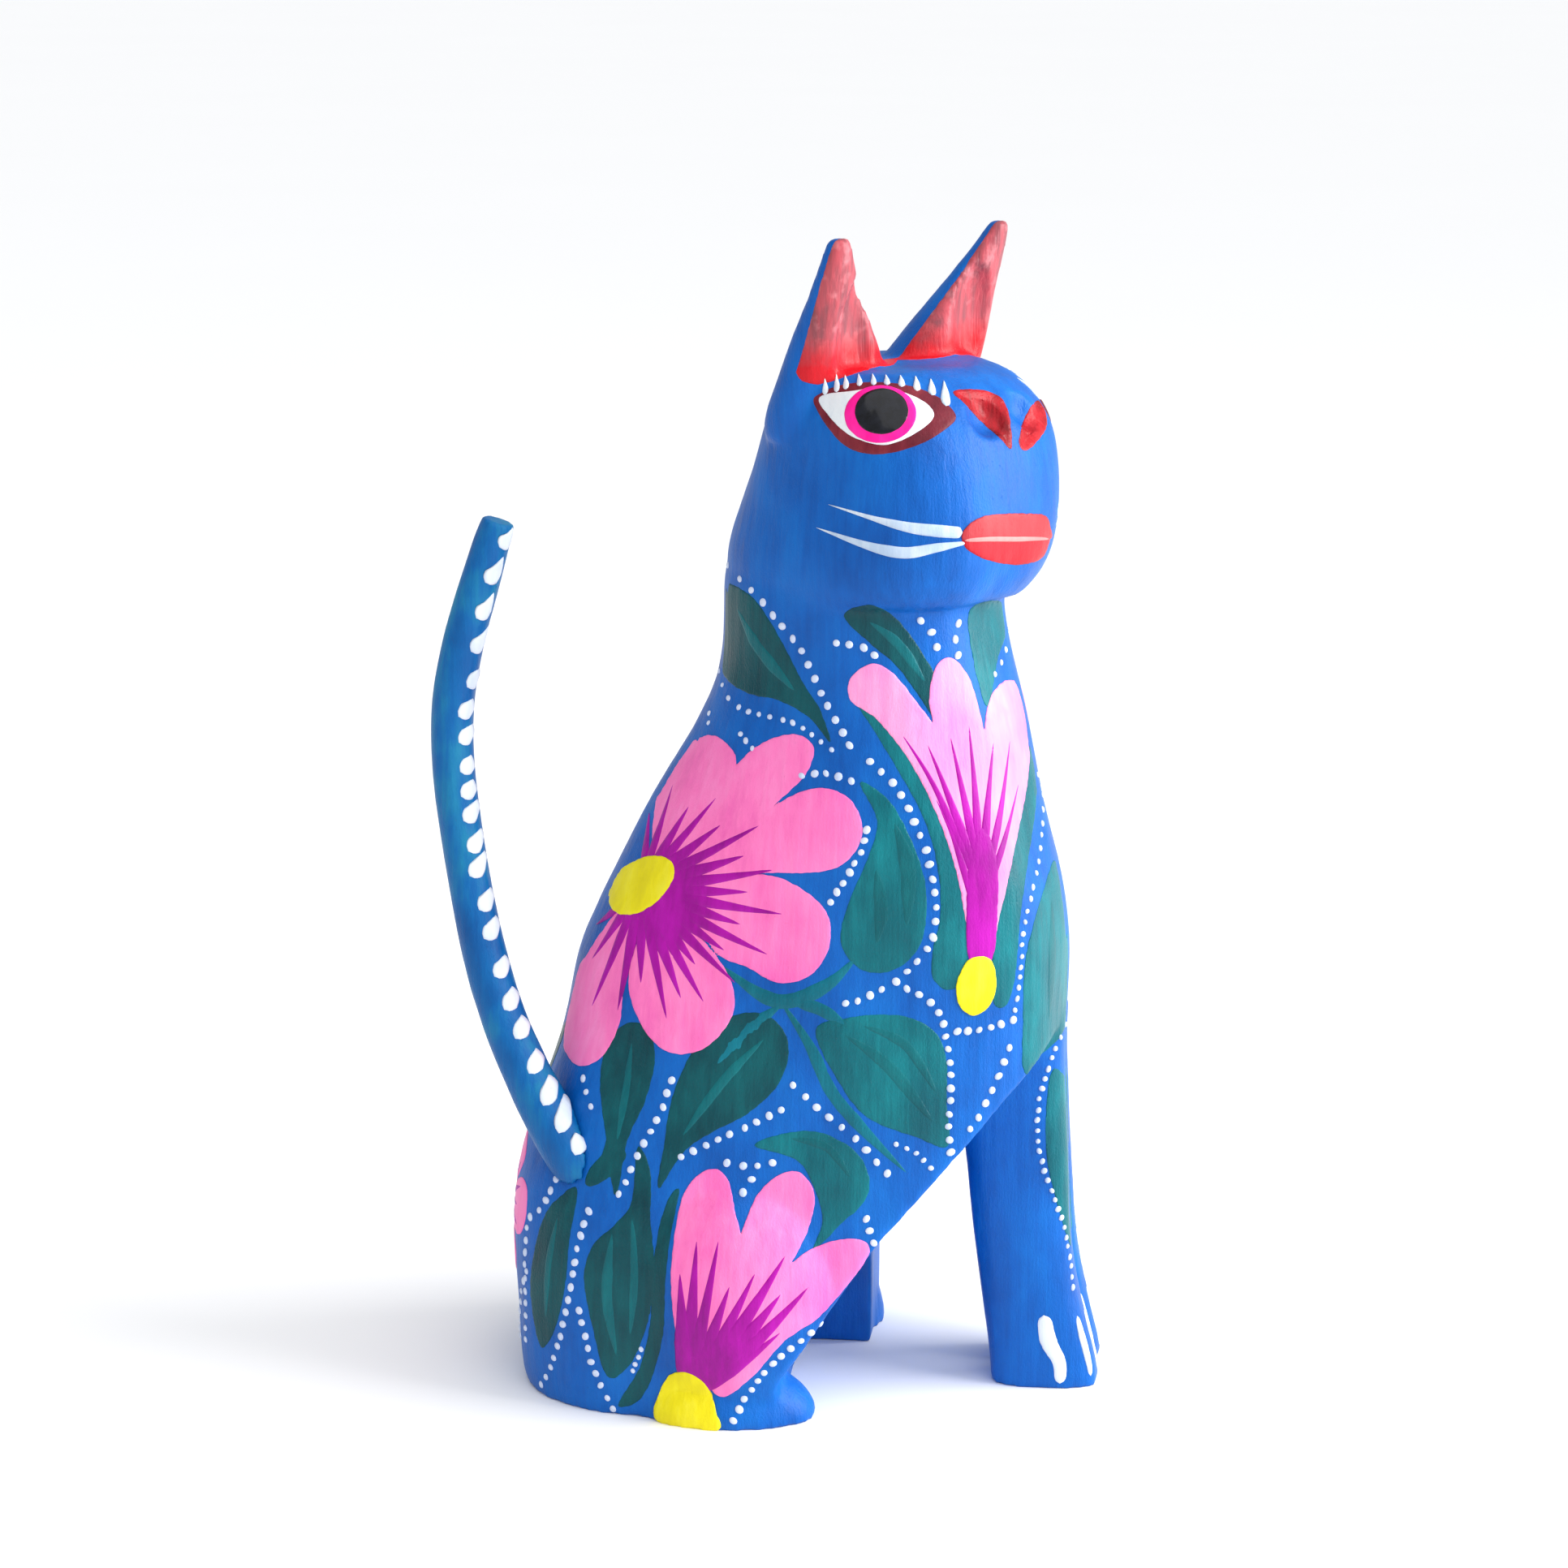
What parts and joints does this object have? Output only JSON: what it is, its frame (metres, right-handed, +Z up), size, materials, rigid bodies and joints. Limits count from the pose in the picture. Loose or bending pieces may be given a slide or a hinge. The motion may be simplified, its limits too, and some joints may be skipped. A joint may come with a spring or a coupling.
{
  "type": "alebrije figure",
  "caption": "Carved and painted wooden seated cat with its head turned, pointed ears, straight front legs and a curved plug-in tail.",
  "frame": {"origin": "on the ground, at the middle of the whole figure's outline", "axes": "+Z up, +X the way the body faces, +Y to the cat's left"},
  "size_m": [0.1168, 0.0694, 0.2022],
  "materials": {
    "blue_wood": "carved wood under satin blue acrylic with painted flowers, leaves and dots",
    "ear_wood": "carved wood under satin blue acrylic, painted red and pink inside",
    "tail_wood": "whittled stick under satin blue acrylic with a row of white marks"
  },
  "bodies": {
    "carving": {"torso_block": "blue_wood", "front_leg_right": "blue_wood", "front_leg_left": "blue_wood", "ear_right": "ear_wood", "ear_left": "ear_wood"},
    "tail": {"tail": "tail_wood"}
  },
  "joints": [
    {"name": "tail_pull", "type": "slide", "parent": "carving", "child": "tail", "axis": [-0.6155, -0.0483, 0.7866], "range_m": [0, 0.02]}
  ]
}
